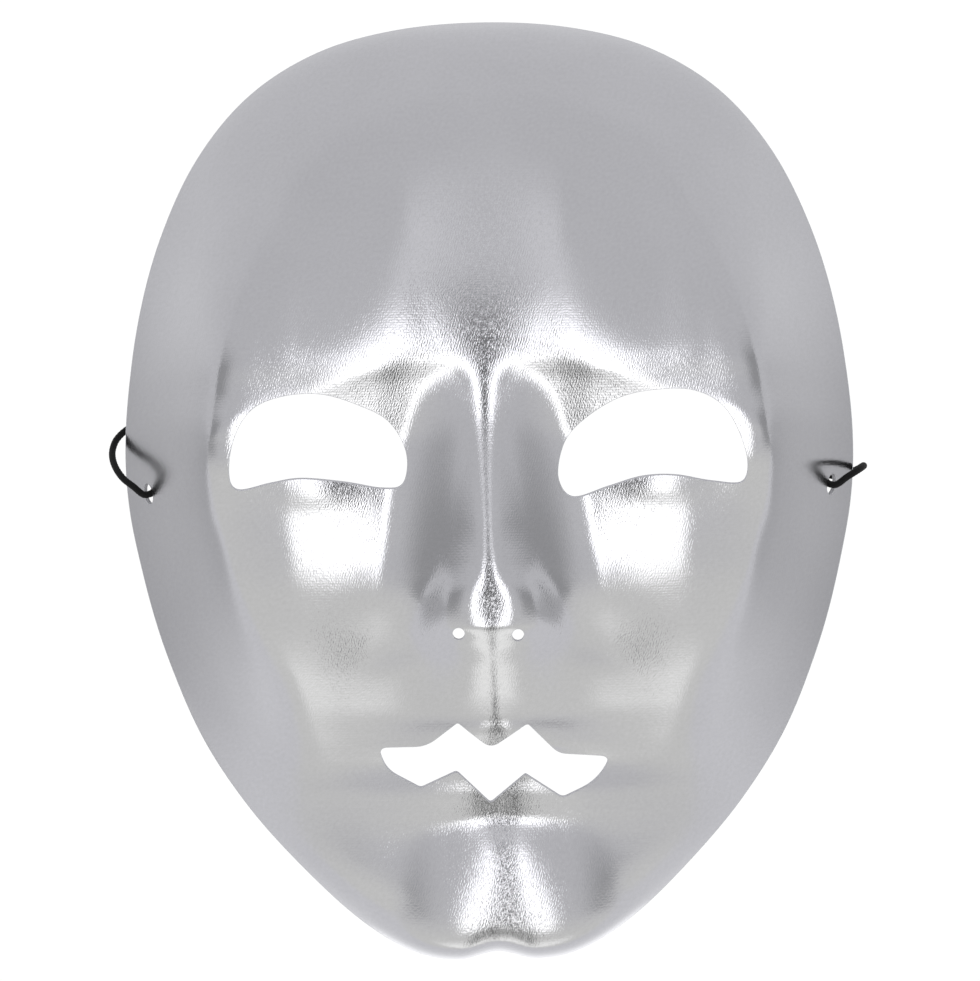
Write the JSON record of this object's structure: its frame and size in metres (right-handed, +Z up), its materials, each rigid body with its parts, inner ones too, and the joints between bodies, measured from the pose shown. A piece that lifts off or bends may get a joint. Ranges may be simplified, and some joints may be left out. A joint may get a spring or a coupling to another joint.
{
  "type": "full-face mime mask",
  "caption": "Full-face mime mask: a thin moulded shell faced with silver cloth, open at the eyes, nostrils and mouth, with a black elastic cord.",
  "frame": {"origin": "on the table, under the middle of the shell's plan, the mask lying face up on its rim", "axes": "+Z up, the way the face looks; +Y towards the top of the head; +X to the right as the face is looked at"},
  "size_m": [0.1908, 0.2348, 0.0713],
  "materials": {
    "silver_cloth": "metallic silver woven cloth laminated on a thin moulded plastic sheet",
    "black_elastic": "matt black braided elastic cord"
  },
  "bodies": {
    "root": {"mask_shell": "silver_cloth", "elastic_cord": "black_elastic", "left_knot": "black_elastic", "right_knot": "black_elastic"}
  },
  "joints": []
}
